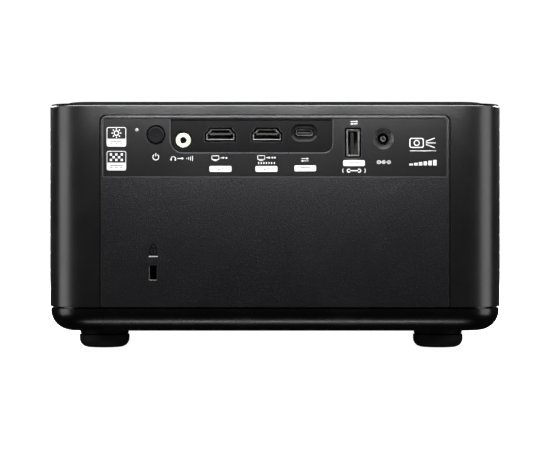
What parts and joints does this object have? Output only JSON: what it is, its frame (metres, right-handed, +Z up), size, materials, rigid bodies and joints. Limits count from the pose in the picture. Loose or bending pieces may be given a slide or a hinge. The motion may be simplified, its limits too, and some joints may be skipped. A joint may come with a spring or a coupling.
{
  "type": "home projector",
  "caption": "Compact box-shaped home projector with rounded corners, a rear socket panel, slotted sides, a front lens and round rubber feet.",
  "frame": {"origin": "on the supporting surface, under the centre of the body", "axes": "+Z up, -Y the way the lens throws its picture, +Y out of the socket panel"},
  "size_m": [0.236, 0.222, 0.1288],
  "materials": {
    "case_plastic": "fine-textured near-black",
    "top_plastic": "satin black",
    "gloss_plastic": "polished black",
    "rubber": "matte black",
    "plated_steel": "nickel plated",
    "aluminium": "milled",
    "copper": "bare copper",
    "brass": "turned",
    "cast_metal": "die-cast, dark",
    "circuit_board": "solder mask",
    "socket_plastic": "moulded black",
    "jack_ring": "moulded pale green",
    "light_pipe": "milky clear",
    "lens_glass": "coated",
    "cone_paper": "pressed pulp"
  },
  "bodies": {
    "housing": {"bottom_tub": "case_plastic", "body_sleeve": "case_plastic", "top_cover": "top_plastic", "rear_panel": "case_plastic", "lock_bracket": "plated_steel", "front_panel": "case_plastic", "lens_trim_ring": "gloss_plastic", "sensor_window": "gloss_plastic", "button_board": "circuit_board", "status_light": "light_pipe", "video_socket_1": "plated_steel", "video_tongue_1": "socket_plastic", "video_socket_2": "plated_steel", "video_tongue_2": "socket_plastic", "type_c_socket": "plated_steel", "type_a_socket": "plated_steel", "type_a_tongue": "socket_plastic", "audio_jack": "jack_ring", "dc_jack": "socket_plastic", "dc_pin": "plated_steel", "engine_housing": "cast_metal", "lens_barrel": "cast_metal", "focus_motor": "plated_steel", "display_board": "circuit_board", "light_source_1": "aluminium", "light_source_2": "aluminium", "light_source_3": "aluminium", "heat_sink": "aluminium", "heat_pipe": "copper", "side_mesh_left": "plated_steel", "side_mesh_right": "plated_steel", "fan_frame_left": "socket_plastic", "fan_frame_right": "socket_plastic", "speaker_box_left": "socket_plastic", "speaker_box_right": "socket_plastic", "main_board": "circuit_board", "power_board": "circuit_board", "sensor_board": "circuit_board", "foot_rear_left": "rubber", "foot_rear_right": "rubber", "foot_front_left": "rubber", "foot_front_right": "rubber", "case_screw_1": "plated_steel", "case_screw_2": "plated_steel", "case_screw_3": "plated_steel", "case_screw_4": "plated_steel", "tripod_insert": "brass"},
    "button": {"power_button": "socket_plastic"},
    "lens_carrier": {"lens_cell": "socket_plastic", "front_lens": "lens_glass"},
    "focus_screw_body": {"focus_screw": "plated_steel"},
    "rotor_left": {"fan_rotor_left": "socket_plastic"},
    "rotor_right": {"fan_rotor_right": "socket_plastic"},
    "cone_left": {"speaker_cone_left": "cone_paper"},
    "cone_right": {"speaker_cone_right": "cone_paper"}
  },
  "joints": [
    {"name": "power_press", "type": "slide", "parent": "housing", "child": "button", "axis": [0, -1, 0], "range_m": [0, 0.0012], "stiffness_N_per_m": 900},
    {"name": "focus_turn", "type": "hinge", "parent": "housing", "child": "focus_screw_body", "pos_m": [-0.017, -0.082, 0.072], "axis": [0, 1, 0], "range_deg": [0, 720]},
    {"name": "focus_slide", "type": "slide", "parent": "housing", "child": "lens_carrier", "axis": [0, -1, 0], "range_m": [0, 0.0025]},
    {"name": "fan_spin_left", "type": "hinge", "parent": "housing", "child": "rotor_left", "pos_m": [0.1, 0.036, 0.072], "axis": [1, 0, 0], "continuous": true},
    {"name": "fan_spin_right", "type": "hinge", "parent": "housing", "child": "rotor_right", "pos_m": [-0.1, 0.036, 0.072], "axis": [1, 0, 0], "continuous": true},
    {"name": "cone_push_left", "type": "slide", "parent": "housing", "child": "cone_left", "axis": [1, 0, 0], "range_m": [-0.0008, 0.0008], "stiffness_N_per_m": 1500},
    {"name": "cone_push_right", "type": "slide", "parent": "housing", "child": "cone_right", "axis": [-1, 0, 0], "range_m": [-0.0008, 0.0008], "stiffness_N_per_m": 1500}
  ],
  "couplings": [
    {"joint": "focus_turn", "follows": "focus_slide", "rad_per_m": 5026.5}
  ]
}
